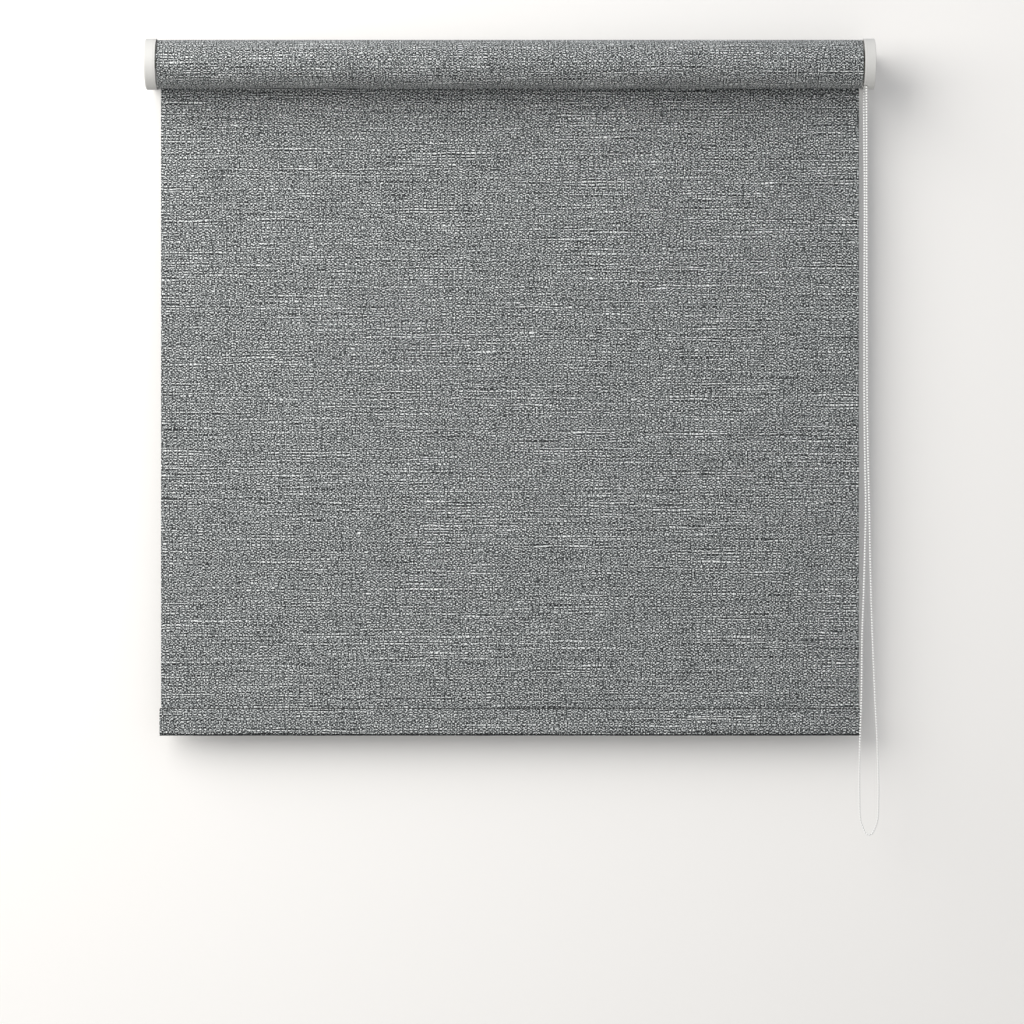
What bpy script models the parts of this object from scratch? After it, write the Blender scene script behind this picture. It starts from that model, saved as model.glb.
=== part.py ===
"""Roller blind on two wall brackets, with a bead-chain clutch at its right end.

Metres, +Z up, +X to the right as the blind is seen, the wall at y = 0 and the room at -Y.
The origin is on the wall, midway between the brackets, at the height of the roller's axis.
"""
import math

import bmesh
import bpy
from mathutils import Vector

# Driving dimensions.
AXIS_Y = -0.060              # the roller's axis stands this far off the wall
GAP = 0.0003                 # between pieces that touch
PAST = 0.002                 # how far a cutter runs past the face that it opens

CLOTH_HALF = 0.400           # half the cloth's width
CLOTH_THICK = 0.00075
DROP = 0.735                 # from the roller's axis down to the hem's seam

ROLL_R = 0.0278              # the roll, cloth and all
TUBE_R = 0.0215
TUBE_WALL = 0.0011
TUBE_BORE = TUBE_R - TUBE_WALL

COVER_R = 0.029
COVER_RIM_X = 0.4016         # the open side, next to the roll
COVER_END_X = 0.4141
COVER_WALL = 0.0016
COVER_WALL_HALF = 0.020      # half its height where it meets the wall
COVER_ROUND = 0.0062         # its outer edge, at its roundest underneath

PLATE_X = 0.4090             # inner face of a bracket's side plate
PLATE_THICK = 0.0015
PLATE_R = 0.0262
PLATE_WALL_HALF = 0.017
FLANGE_X = 0.384             # inner end of a bracket's wall flange
WALL_HOLE_X = 0.395
WALL_HOLE_Z = 0.009
WALL_HOLE_R = 0.0023
PEG_Y, PEG_Z, PEG_R = -0.018, 0.007, 0.0017
PEG_PAST = 0.0012            # how far a cover's pegs stand through the side plate

CHAIN_D = 0.0026             # over the beads
BEAD_PITCH = 0.00315
POCKETS = 24
CHAIN_X = 0.4042             # the plane of the chain wheel
CHAIN_R = POCKETS * BEAD_PITCH / (2 * math.pi)

CORE_R = 0.0075
CORE_END_X = 0.350
BACKPLATE_R = 0.019
BACKPLATE_X = 0.4072
BACKPLATE_THICK = 0.0015
CLUTCH_SCREW_Z = 0.0155
SCREW_R = 0.0014
WHEEL_HALF = 0.0025          # half the chain wheel's width
TONGUE_IN, TONGUE_OUT = 0.0092, 0.0107
CROWN_IN, CROWN_OUT = 0.0110, 0.0124
CROWN_END_X = 0.351
PLUG_END_X = 0.4012          # outer ends of what fills the tube's two ends
FLANGE_R = 0.0212            # collars that stop against the tube's ends

PIN_R = 0.0050               # the idle pin where it turns in its bracket

KEY_HALF, KEY_FLOOR = 0.0026, 0.0174
HEM_HIGH, HEM_THICK = 0.031, 0.006
HEM_HALF = 0.4015
BAR_HIGH, BAR_THICK, BAR_WALL = 0.027, 0.0038, 0.0008
BAR_HALF = 0.3986

CLOTH_Y = AXIS_Y + ROLL_R + GAP + CLOTH_THICK / 2
HEM_Z = -DROP - HEM_HIGH / 2

# Finishes: linear colour, roughness, metallic.
WHITE_PLASTIC = ((0.80, 0.79, 0.77), 0.38, 0.0)
GREY_PLASTIC = ((0.21, 0.215, 0.21), 0.55, 0.0)
NYLON = ((0.74, 0.73, 0.70), 0.45, 0.0)
CLOTH = ((0.21, 0.215, 0.213), 0.90, 0.0)
PAINTED_STEEL = ((0.78, 0.78, 0.76), 0.35, 0.0)
ALUMINIUM = ((0.72, 0.73, 0.74), 0.32, 1.0)
SPRING_STEEL = ((0.45, 0.46, 0.48), 0.30, 1.0)
ZINC_STEEL = ((0.62, 0.63, 0.65), 0.28, 1.0)

# The chain's hanging loop, in millimetres: down behind, round the bottom and up in front.
CHAIN_ROUTE_MM = [
    (404.2, -48.0, -3), (404.0, -48.0, -50), (404.9, -48.0, -150), (404.6, -48.0, -270),
    (404.6, -48.0, -380), (405.3, -48.0, -450), (406.2, -48.0, -505), (405.0, -48.1, -560),
    (403.5, -48.4, -610), (401.9, -49.0, -655), (401.1, -50.0, -719), (399.3, -51.9, -767),
    (398.3, -53.6, -814), (398.6, -54.2, -846), (399.4, -54.7, -860), (401.5, -55.9, -866.9),
    (403.8, -57.3, -873.0), (405.8, -58.4, -875.9), (408.6, -60.0, -876.8),
    (411.4, -61.6, -875.9), (413.4, -62.8, -873.0), (415.7, -64.1, -866.9),
    (417.8, -65.3, -860), (418.6, -66.0, -846), (418.7, -66.4, -814), (417.1, -68.1, -767),
    (414.5, -70.0, -719), (411.7, -71.0, -655), (410.1, -71.6, -610), (408.8, -71.9, -560),
    (407.8, -72.0, -505), (406.5, -72.0, -450), (405.5, -72.0, -380), (405.2, -72.0, -270),
    (404.9, -72.0, -150), (404.7, -72.0, -50), (404.2, -72.0, -3),
]

for old in list(bpy.data.objects):
    bpy.data.objects.remove(old, do_unlink=True)


def new_collection(name):
    collection = bpy.data.collections.new(name)
    bpy.context.scene.collection.children.link(collection)
    return collection


PARTS = new_collection("roller_blind")
CUTTERS = new_collection("cutters")


# Making and placing objects.

def empty(name, location):
    """A joint's place: the pieces that move with it hang under it."""
    marker = bpy.data.objects.new(name, None)
    marker.location = location
    marker.empty_display_size = 0.02
    PARTS.objects.link(marker)
    return marker


def place(obj, parent, finish):
    """Put a finished piece in the blind, under its joint's empty, with its own material."""
    color, roughness, metallic = finish
    material = bpy.data.materials.new(obj.name)
    material.use_nodes = True
    shader = material.node_tree.nodes["Principled BSDF"]
    shader.inputs["Base Color"].default_value = (*color, 1.0)
    shader.inputs["Roughness"].default_value = roughness
    shader.inputs["Metallic"].default_value = metallic
    obj.data.materials.append(material)
    obj.location -= parent.location
    obj.parent = parent
    PARTS.objects.link(obj)
    return obj


def as_tool(obj):
    """Keep a shape out of the blind: it only cuts or joins others."""
    obj.hide_render = True
    obj.display_type = "WIRE"
    CUTTERS.objects.link(obj)
    return obj


def boolean(obj, operation, *tools):
    for tool in tools:
        modifier = obj.modifiers.new(tool.name, "BOOLEAN")
        modifier.operation = operation
        modifier.object = as_tool(tool)


def from_bmesh(name, bm, location=(0, 0, 0)):
    mesh = bpy.data.meshes.new(name)
    bm.to_mesh(mesh)
    bm.free()
    obj = bpy.data.objects.new(name, mesh)
    obj.location = location
    return obj


def box(name, low, high):
    low, high = Vector(low), Vector(high)
    bm = bmesh.new()
    bmesh.ops.create_cube(bm, size=1.0)
    bmesh.ops.scale(bm, vec=high - low, verts=bm.verts)
    return from_bmesh(name, bm, (low + high) / 2)


def rod(name, radius, start_x, end_x, y, z, segments=24):
    """A straight cylinder along X, for holes and pegs."""
    bm = bmesh.new()
    bmesh.ops.create_cone(bm, cap_ends=True, segments=segments, radius1=radius, radius2=radius,
                          depth=abs(end_x - start_x))
    obj = from_bmesh(name, bm, ((start_x + end_x) / 2, y, z))
    obj.rotation_euler = (0, math.pi / 2, 0)
    return obj


def turned(name, profile, steps=48, axis=(0, AXIS_Y, 0)):
    """A piece turned about the roller's axis from (radius, x) points, right-hand end first.

    A profile that starts on the axis ends on it; any other is closed along its bore.
    """
    bm = bmesh.new()
    points = [bm.verts.new((radius, 0, x)) for radius, x in profile]
    for first, second in zip(points, points[1:]):
        bm.edges.new((first, second))
    if profile[0][0] > 0:
        bm.edges.new((points[-1], points[0]))
    obj = from_bmesh(name, bm, axis)
    obj.rotation_euler = (0, math.pi / 2, 0)
    screw = obj.modifiers.new("Turn", "SCREW")
    screw.steps = screw.render_steps = steps
    screw.use_merge_vertices = True
    screw.merge_threshold = 0.00001
    return obj


def extruded(name, outlines, start_x, end_x, y=AXIS_Y, z=0.0):
    """A mesh extruded along X from closed (y, z) outlines about (y, z); a second one is a hole."""
    curve = bpy.data.curves.new(name + "_outline", "CURVE")
    curve.dimensions = "2D"
    curve.fill_mode = "BOTH"
    curve.extrude = (end_x - start_x) / 2
    for outline in outlines:
        spline = curve.splines.new("POLY")
        spline.points.add(len(outline) - 1)
        spline.use_cyclic_u = True
        for point, (across, up) in zip(spline.points, outline):
            point.co = (across, up, 0, 1)
    flat = bpy.data.objects.new(name + "_outline", curve)
    flat.location = ((start_x + end_x) / 2, y, z)
    flat.rotation_euler = (math.pi / 2, 0, math.pi / 2)
    CUTTERS.objects.link(flat)
    bpy.context.view_layer.update()
    evaluated = flat.evaluated_get(bpy.context.evaluated_depsgraph_get())
    mesh = bpy.data.meshes.new_from_object(evaluated)
    bm = bmesh.new()
    bm.from_mesh(mesh)
    bmesh.ops.remove_doubles(bm, verts=bm.verts, dist=0.00001)
    bm.to_mesh(mesh)
    bm.free()
    solid = bpy.data.objects.new(name, mesh)
    solid.matrix_world = flat.matrix_world
    bpy.data.objects.remove(flat)
    return solid


def wire(name, points, diameter):
    """A round wire or cord along the points, with its ends closed."""
    curve = bpy.data.curves.new(name, "CURVE")
    curve.dimensions = "3D"
    curve.bevel_depth = diameter / 2
    curve.bevel_resolution = 2
    curve.use_fill_caps = True
    spline = curve.splines.new("POLY")
    spline.points.add(len(points) - 1)
    for point, place_ in zip(spline.points, points):
        point.co = (*place_, 1)
    return bpy.data.objects.new(name, curve)


# Outlines in the Y-Z plane.

def teardrop(radius, wall_half, arc_steps=28):
    """Round about the roller's axis in front, with straight sides running in to the wall."""
    reach = -AXIS_Y
    lean = math.atan2(wall_half, reach)
    turn = lean + math.acos(radius / math.hypot(reach, wall_half))
    sweep = 2 * (math.pi - turn)
    angles = [turn + sweep * i / arc_steps for i in range(arc_steps + 1)]
    nose = [(radius * math.cos(a), radius * math.sin(a)) for a in angles]
    return [(reach, wall_half), *nose, (reach, -wall_half)]


def sector(inner, outer, start_deg, end_deg, steps):
    """Part of a ring, its angles counted from the wall side upwards."""
    angles = [math.radians(start_deg + (end_deg - start_deg) * i / steps) for i in range(steps + 1)]
    outside = [(outer * math.cos(a), outer * math.sin(a)) for a in angles]
    inside = [(inner * math.cos(a), inner * math.sin(a)) for a in reversed(angles)]
    return outside + inside


def rounded_rectangle(thick, high, radius, steps=4):
    points = []
    corners = [(1, 1, 0), (-1, 1, 90), (-1, -1, 180), (1, -1, 270)]
    for across, up, start in corners:
        for i in range(steps + 1):
            angle = math.radians(start + 90 * i / steps)
            points.append((across * (thick / 2 - radius) + radius * math.cos(angle),
                           up * (high / 2 - radius) + radius * math.sin(angle)))
    return points


def smooth_route(points, per_span=2):
    """Points on a smooth curve through a hand-set route."""
    ends = [2 * points[0] - points[1], *points, 2 * points[-1] - points[-2]]
    route = []
    for a, b, c, d in zip(ends, ends[1:], ends[2:], ends[3:]):
        for i in range(per_span):
            t = i / per_span
            route.append(0.5 * (2 * b + (c - a) * t + (2 * a - 5 * b + 4 * c - d) * t ** 2
                                + (3 * b - a - 3 * c + d) * t ** 3))
    return route + [points[-1]]


def helix(radius, start_x, end_x, turns, per_turn=12):
    """Points of a spring wound about the roller's axis."""
    count = turns * per_turn
    angles = [2 * math.pi * i / per_turn for i in range(count + 1)]
    return [Vector((start_x + (end_x - start_x) * i / count, AXIS_Y + radius * math.cos(a),
                    radius * math.sin(a))) for i, a in enumerate(angles)]


# The joints' places.
MOUNTING = empty("mounting", (0, 0, 0))
ROLLER = empty("roller_axis", (0, AXIS_Y, 0))
WHEEL = empty("chain_wheel_axis", (CHAIN_X, AXIS_Y, 0))
PIN = empty("idle_pin_slide", (-PLATE_X, AXIS_Y, 0))
HEM = empty("hem_travel", (0, CLOTH_Y, HEM_Z))


# Brackets and their covers.

def bracket(name, side):
    """An L of pressed steel: a side plate and a wall flange turned in behind the roll."""
    inner, outer = sorted((side * PLATE_X, side * (PLATE_X + PLATE_THICK)))
    plate = extruded(name, [teardrop(PLATE_R, PLATE_WALL_HALF)], inner, outer)
    near, far = sorted((side * FLANGE_X, side * (PLATE_X + PLATE_THICK / 2)))
    flange = box(name + "_flange", (near, -PLATE_THICK, -PLATE_WALL_HALF),
                 (far, 0, PLATE_WALL_HALF))
    boolean(plate, "UNION", flange)
    for end, z in (("upper", WALL_HOLE_Z), ("lower", -WALL_HOLE_Z)):
        through = PLATE_THICK + PAST
        hole = rod(f"{name}_wall_hole_{end}", WALL_HOLE_R, -through, through, 0, z)
        hole.location.x = side * WALL_HOLE_X
        hole.rotation_euler = (math.pi / 2, 0, 0)
        boolean(plate, "DIFFERENCE", hole)
    for end, z in (("upper", PEG_Z), ("lower", -PEG_Z)):
        boolean(plate, "DIFFERENCE",
                rod(f"{name}_peg_hole_{end}", PEG_R + GAP, inner - PAST, outer + PAST, PEG_Y, z))
    return plate


def end_cover(name, side):
    """A moulded cup over a bracket, open to the roll and to the wall, pegged to the side plate."""
    outline = teardrop(COVER_R, COVER_WALL_HALF)
    bm = bmesh.new()
    rounding = bm.edges.layers.float.new("bevel_weight_edge")
    end = [bm.verts.new((COVER_END_X, y, z)) for y, z in outline]
    face = bm.faces.new(end)
    skirt = [e for e in face.edges if not all(v in (end[0], end[-1]) for v in e.verts)]
    for edge in skirt:
        height = sum(v.co.z for v in edge.verts) / 2
        edge[rounding] = 0.75 - 0.25 * height / COVER_R
    made = bmesh.ops.extrude_edge_only(bm, edges=skirt)["geom"]
    rim = [v for v in made if isinstance(v, bmesh.types.BMVert)]
    bmesh.ops.translate(bm, verts=rim, vec=(COVER_RIM_X - COVER_END_X, 0, 0))
    bmesh.ops.recalc_face_normals(bm, faces=bm.faces)
    if face.normal.x < 0:
        bmesh.ops.reverse_faces(bm, faces=bm.faces)
    if side < 0:
        bmesh.ops.scale(bm, vec=(-1, 1, 1), verts=bm.verts)
        bmesh.ops.reverse_faces(bm, faces=bm.faces)
    cover = from_bmesh(name, bm, (0, AXIS_Y, 0))
    bevel = cover.modifiers.new("Outer edge", "BEVEL")
    bevel.limit_method = "WEIGHT"
    bevel.width = COVER_ROUND
    bevel.segments = 4
    shell = cover.modifiers.new("Wall", "SOLIDIFY")
    shell.thickness = COVER_WALL
    shell.offset = -1
    shell.use_even_offset = True
    for end_name, z in (("upper", PEG_Z), ("lower", -PEG_Z)):
        boolean(cover, "UNION",
                rod(f"{name}_peg_{end_name}", PEG_R, side * (PLATE_X - PEG_PAST),
                    side * (COVER_END_X - COVER_WALL / 2), PEG_Y, z))
    return cover


left_bracket = bracket("left_bracket", -1)
boolean(left_bracket, "DIFFERENCE",
        rod("idle_pin_hole", PIN_R + GAP, -PLATE_X - PLATE_THICK - PAST, -PLATE_X + PAST,
            AXIS_Y, 0, 32))
place(left_bracket, MOUNTING, PAINTED_STEEL)

right_bracket = bracket("right_bracket", 1)
for end, z in (("upper", CLUTCH_SCREW_Z), ("lower", -CLUTCH_SCREW_Z)):
    boolean(right_bracket, "DIFFERENCE",
            rod(f"clutch_screw_hole_{end}", SCREW_R + GAP, PLATE_X - PAST,
                PLATE_X + PLATE_THICK + PAST, AXIS_Y, z))
place(right_bracket, MOUNTING, PAINTED_STEEL)

place(end_cover("left_cover", -1), MOUNTING, WHITE_PLASTIC)

SLOT_HALF, SLOT_TOP = 0.0018, -0.015
right_cover = end_cover("right_cover", 1)
for end, y in (("front", AXIS_Y - CHAIN_R), ("back", AXIS_Y + CHAIN_R)):
    boolean(right_cover, "DIFFERENCE",
            box(f"chain_slot_{end}", (COVER_RIM_X - PAST, y - SLOT_HALF, -COVER_R - PAST),
                (CHAIN_X + SLOT_HALF, y + SLOT_HALF, SLOT_TOP)))
place(right_cover, MOUNTING, WHITE_PLASTIC)


# The clutch: what stands still on the right bracket.

CORE_BORE_R, CORE_BORE_DEEP = SCREW_R + GAP, 0.016
clutch_core = turned("clutch_core", [
    (0, BACKPLATE_X + BACKPLATE_THICK), (BACKPLATE_R, BACKPLATE_X + BACKPLATE_THICK),
    (BACKPLATE_R, BACKPLATE_X), (CORE_R, BACKPLATE_X), (CORE_R, CORE_END_X),
    (CORE_BORE_R, CORE_END_X), (CORE_BORE_R, CORE_END_X + CORE_BORE_DEEP),
    (0, CORE_END_X + CORE_BORE_DEEP)])
for end, z in (("upper", CLUTCH_SCREW_Z), ("lower", -CLUTCH_SCREW_Z)):
    boolean(clutch_core, "DIFFERENCE",
            rod(f"core_screw_hole_{end}", SCREW_R + GAP, BACKPLATE_X - PAST,
                BACKPLATE_X + BACKPLATE_THICK + PAST, AXIS_Y, z))
place(clutch_core, MOUNTING, NYLON)

GUARD_IN, GUARD_OUT = 0.0138, 0.0154
GUARD_X = CHAIN_X - 0.0022   # the guard's free edge, over the wheel's groove
GUARD_BELOW_AXIS = 8         # degrees that it runs on past the wheel's upper half at each end
place(extruded("chain_guard",
               [sector(GUARD_IN, GUARD_OUT, -GUARD_BELOW_AXIS, 180 + GUARD_BELOW_AXIS, 28)],
               GUARD_X, BACKPLATE_X - GAP), MOUNTING, NYLON)

SCREW_HEAD_X = PLATE_X + PLATE_THICK + GAP
SCREW_HEAD_R, SCREW_HEAD_HIGH, SCREW_HEAD_EDGE = 0.0026, 0.0014, 0.0008
SCREW_TOP_R = 0.0021
for end, z in (("upper", CLUTCH_SCREW_Z), ("lower", -CLUTCH_SCREW_Z)):
    place(turned(f"clutch_screw_{end}", [
        (0, SCREW_HEAD_X + SCREW_HEAD_HIGH), (SCREW_TOP_R, SCREW_HEAD_X + SCREW_HEAD_HIGH),
        (SCREW_HEAD_R, SCREW_HEAD_X + SCREW_HEAD_EDGE), (SCREW_HEAD_R, SCREW_HEAD_X),
        (SCREW_R, SCREW_HEAD_X), (SCREW_R, BACKPLATE_X + GAP), (0, BACKPLATE_X + GAP)],
        20, (0, AXIS_Y, z)),
        MOUNTING, ZINC_STEEL)

WRAP_WIRE = 0.001
WRAP_R = CORE_R + GAP + WRAP_WIRE / 2
WRAP_LENGTH, WRAP_TURNS = 0.0096, 6
for name, start_x in (("clutch_spring_outer", 0.385), ("clutch_spring_inner", 0.368)):
    place(wire(name, helix(WRAP_R, start_x, start_x + WRAP_LENGTH, WRAP_TURNS), WRAP_WIRE),
          MOUNTING, SPRING_STEEL)

WASHER_X = CORE_END_X - GAP
WASHER_R, WASHER_HOLE_R, WASHER_THICK = 0.014, 0.0018, 0.0015
place(turned("retaining_washer", [
    (WASHER_R, WASHER_X), (WASHER_R, WASHER_X - WASHER_THICK),
    (WASHER_HOLE_R, WASHER_X - WASHER_THICK), (WASHER_HOLE_R, WASHER_X)], 32),
    MOUNTING, ZINC_STEEL)
HEAD_X = WASHER_X - WASHER_THICK - GAP
HEAD_R, HEAD_TOP_R, HEAD_EDGE, HEAD_HIGH = 0.004, 0.0032, 0.0015, 0.0024
TIP_X = CORE_END_X + CORE_BORE_DEEP - PAST
place(turned("retaining_screw", [
    (0, TIP_X), (SCREW_R, TIP_X), (SCREW_R, HEAD_X), (HEAD_R, HEAD_X),
    (HEAD_R, HEAD_X - HEAD_EDGE), (HEAD_TOP_R, HEAD_X - HEAD_HIGH), (0, HEAD_X - HEAD_HIGH)], 24),
    MOUNTING, ZINC_STEEL)


# The chain: a half turn over the wheel, and the loop that hangs from it.

def chain_on_wheel(steps=16):
    angles = [math.pi * i / steps for i in range(steps + 1)]
    return [Vector((CHAIN_X, AXIS_Y + CHAIN_R * math.cos(a), CHAIN_R * math.sin(a)))
            for a in angles]


hanging = [Vector(point) / 1000 for point in CHAIN_ROUTE_MM]
ends = [Vector((CHAIN_X, AXIS_Y + side * CHAIN_R, -GAP)) for side in (1, -1)]
place(wire("chain_on_wheel", chain_on_wheel(), CHAIN_D), MOUNTING, WHITE_PLASTIC)
place(wire("operating_chain", [ends[0], *smooth_route(hanging), ends[1]], CHAIN_D),
      MOUNTING, WHITE_PLASTIC)


# The chain wheel, with a tongue that reaches in to the wrap springs.

WHEEL_LIP = 0.0012           # the flanges' height over the middle of the beads
POCKET_DEEP = 0.0009         # the groove's floor under the beads, between two ridges
GROOVE_ROOM = 0.0004         # beside a bead, on each side
WHEEL_TONGUE_X = 0.366
INTO = 0.0008                # how far a joined shape runs into its neighbour


def chain_wheel():
    """A grooved wheel whose groove floor rises to a ridge between each two beads."""
    flange_r = CHAIN_R + WHEEL_LIP
    floor_r = CHAIN_R - CHAIN_D / 2 - POCKET_DEEP
    ridge_r = CHAIN_R - CHAIN_D / 2 - GAP
    groove_half = CHAIN_D / 2 + GROOVE_ROOM
    profile = [(CORE_R + GAP, WHEEL_HALF), (flange_r, WHEEL_HALF), (flange_r, groove_half),
               (floor_r, groove_half), (floor_r, -groove_half), (flange_r, -groove_half),
               (flange_r, -WHEEL_HALF), (CORE_R + GAP, -WHEEL_HALF)]
    bm = bmesh.new()
    points = [bm.verts.new((x, radius, 0)) for radius, x in profile]
    edges = [bm.edges.new(pair) for pair in zip(points, points[1:] + points[:1])]
    bmesh.ops.spin(bm, geom=points + edges, cent=(0, 0, 0), axis=(1, 0, 0),
                   angle=2 * math.pi, steps=2 * POCKETS, use_merge=True)
    bmesh.ops.remove_doubles(bm, verts=bm.verts, dist=0.00001)
    for vert in bm.verts:
        radius = math.hypot(vert.co.y, vert.co.z)
        step = round(math.atan2(vert.co.z, vert.co.y) * POCKETS / math.pi)
        if abs(radius - floor_r) < 0.0001 and step % 2:
            vert.co.y *= ridge_r / radius
            vert.co.z *= ridge_r / radius
    bmesh.ops.recalc_face_normals(bm, faces=bm.faces)
    wheel = from_bmesh("chain_wheel", bm, (CHAIN_X, AXIS_Y, 0))
    boolean(wheel, "UNION",
            extruded("wheel_tongue", [sector(TONGUE_IN, TONGUE_OUT - GAP, 55, 125, 10)],
                     WHEEL_TONGUE_X, CHAIN_X - WHEEL_HALF + INTO))
    return wheel


place(chain_wheel(), WHEEL, NYLON)


# What turns with the roller.

KEY_WALL = 0.0008
KEY_LIP = 0.0013             # from the tube's outside in to the keyway's roof
KEY_SLOT_HALF = 0.0008


def roller_tube():
    """An aluminium tube with a keyway folded in along its top, open to the outside by a slot."""
    tube = turned("roller_tube", [
        (TUBE_R, CLOTH_HALF), (TUBE_R, -CLOTH_HALF), (TUBE_BORE, -CLOTH_HALF),
        (TUBE_BORE, CLOTH_HALF)])
    past_end = CLOTH_HALF + PAST
    boolean(tube, "UNION",
            box("keyway_wall", (-CLOTH_HALF, AXIS_Y - KEY_HALF, KEY_FLOOR),
                (CLOTH_HALF, AXIS_Y + KEY_HALF, TUBE_R - TUBE_WALL / 2)))
    boolean(tube, "DIFFERENCE",
            box("keyway", (-past_end, AXIS_Y - KEY_HALF + KEY_WALL, KEY_FLOOR + KEY_WALL),
                (past_end, AXIS_Y + KEY_HALF - KEY_WALL, TUBE_R - KEY_LIP)),
            box("keyway_slot", (-past_end, AXIS_Y - KEY_SLOT_HALF, TUBE_R - PAST),
                (past_end, AXIS_Y + KEY_SLOT_HALF, TUBE_R + PAST)))
    return tube


BESIDE_KEY = 11.5            # degrees from the keyway's middle to the fin on each side of it
FIN_HALF = 0.0008
FIN_START_X = CROWN_END_X + 0.004
RIB_FROM_END = 0.001


def drive_crown():
    """The clutch's output: a sleeve with fins that fill the tube and grip its keyway."""
    inner_end, outer_end = CLOTH_HALF + GAP, PLUG_END_X
    crown = turned("drive_crown", [
        (FLANGE_R, outer_end), (FLANGE_R, inner_end), (CROWN_OUT, inner_end),
        (CROWN_OUT, CROWN_END_X), (CROWN_IN, CROWN_END_X), (CROWN_IN, outer_end)])
    fins = [90 - BESIDE_KEY, 90 + BESIDE_KEY, 135, 180, 225, 270, 315, 360]
    for number, angle in enumerate(fins):
        turn = math.radians(angle)
        fin_in, fin_out = CROWN_OUT - INTO, TUBE_BORE - GAP
        middle = (fin_in + fin_out) / 2
        fin = box(f"crown_fin_{number}", (FIN_START_X, -middle, -FIN_HALF),
                  (inner_end + INTO / 2, -middle + fin_out - fin_in, FIN_HALF))
        fin.location = (fin.location.x, AXIS_Y + middle * math.cos(turn), middle * math.sin(turn))
        fin.rotation_euler = (turn, 0, 0)
        boolean(crown, "UNION", fin)
    boolean(crown, "UNION",
            extruded("crown_rib", [sector(TONGUE_IN, CROWN_IN + INTO / 2, 235, 305, 10)],
                     CROWN_END_X + RIB_FROM_END, outer_end - RIB_FROM_END))
    return crown


PLUG_R = 0.0200
PLUG_START_X = 0.3720
CHAMBER_R, CHAMBER_START_X, CHAMBER_END_X = 0.0084, 0.3744, 0.3920
STEM_R = 0.0030              # the pin's stem, inside its spring
STEM_HOLE_R = 0.0035


def idle_plug():
    """The plug in the tube's left end: a guide for the pin, and a chamber for its spring."""
    plug = turned("idle_plug", [
        (PLUG_R, -PLUG_START_X), (PLUG_R, -CLOTH_HALF - GAP), (FLANGE_R, -CLOTH_HALF - GAP),
        (FLANGE_R, -PLUG_END_X), (PIN_R + GAP, -PLUG_END_X), (PIN_R + GAP, -CHAMBER_END_X),
        (CHAMBER_R, -CHAMBER_END_X), (CHAMBER_R, -CHAMBER_START_X),
        (STEM_HOLE_R, -CHAMBER_START_X), (STEM_HOLE_R, -PLUG_START_X)])
    boolean(plug, "DIFFERENCE",
            box("plug_key_slot", (-CLOTH_HALF - GAP / 2, AXIS_Y - KEY_HALF - GAP,
                                  KEY_FLOOR - GAP),
                (-PLUG_START_X + PAST, AXIS_Y + KEY_HALF + GAP, TUBE_R + PAST)))
    return plug


place(roller_tube(), ROLLER, ALUMINIUM)
spline_half = KEY_HALF - KEY_WALL - GAP
place(box("cloth_spline", (-CLOTH_HALF, AXIS_Y - spline_half, KEY_FLOOR + KEY_WALL + GAP),
          (CLOTH_HALF, AXIS_Y + spline_half, TUBE_R - KEY_LIP - GAP)), ROLLER, GREY_PLASTIC)
place(turned("wound_cloth", [
    (ROLL_R, CLOTH_HALF), (ROLL_R, -CLOTH_HALF), (TUBE_R + GAP, -CLOTH_HALF),
    (TUBE_R + GAP, CLOTH_HALF)], 64), ROLLER, CLOTH)
place(drive_crown(), ROLLER, NYLON)
place(idle_plug(), ROLLER, NYLON)

IDLE_WIRE = 0.0008
IDLE_SPRING_R, IDLE_SPRING_TURNS = 0.0056, 6
COLLAR_X = 0.3894            # inner face of the pin's collar, which the spring pushes on
place(wire("idle_spring", helix(IDLE_SPRING_R, -COLLAR_X + IDLE_WIRE,
                                -CHAMBER_START_X - IDLE_WIRE, IDLE_SPRING_TURNS), IDLE_WIRE),
      ROLLER, SPRING_STEEL)

STEM_START_X = 0.3640
COLLAR_R = 0.0079
PIN_END_X, PIN_CHAMFER = 0.4116, 0.0007
place(turned("idle_pin", [
    (0, -STEM_START_X), (STEM_R, -STEM_START_X), (STEM_R, -COLLAR_X), (COLLAR_R, -COLLAR_X),
    (COLLAR_R, -CHAMBER_END_X + GAP), (PIN_R, -CHAMBER_END_X + GAP),
    (PIN_R, -PIN_END_X + PIN_CHAMFER), (PIN_R - PIN_CHAMFER, -PIN_END_X), (0, -PIN_END_X)], 32),
    PIN, NYLON)


# The hanging cloth and its hem.

def tube_section(name, half, outside, inside):
    return extruded(name, [outside, inside], -half, half, CLOTH_Y, HEM_Z)


CAP_INSET = 0.0005           # from the mouth of the hem in to the cap's face
CAP_THICK, CAP_HIGH, CAP_ROUND = HEM_THICK - 0.0021, HEM_HIGH - 0.0024, 0.0016
CAP_TONGUE_X = 0.380


def hem_cap(name, side):
    """A moulded cap that plugs the bar and sits just inside the mouth of the hem."""
    near, far = sorted((side * (BAR_HALF + GAP), side * (HEM_HALF - CAP_INSET)))
    cap = extruded(name, [rounded_rectangle(CAP_THICK, CAP_HIGH, CAP_ROUND)],
                   near, far, CLOTH_Y, HEM_Z)
    near, far = sorted((side * CAP_TONGUE_X, side * (BAR_HALF + INTO)))
    tongue_thick = BAR_THICK - 2 * BAR_WALL - 2 * GAP
    tongue_high = BAR_HIGH - 2 * BAR_WALL - 2 * GAP
    boolean(cap, "UNION",
            extruded(name + "_tongue", [rounded_rectangle(tongue_thick, tongue_high, 0.0006, 2)],
                     near, far, CLOTH_Y, HEM_Z))
    return cap


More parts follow.
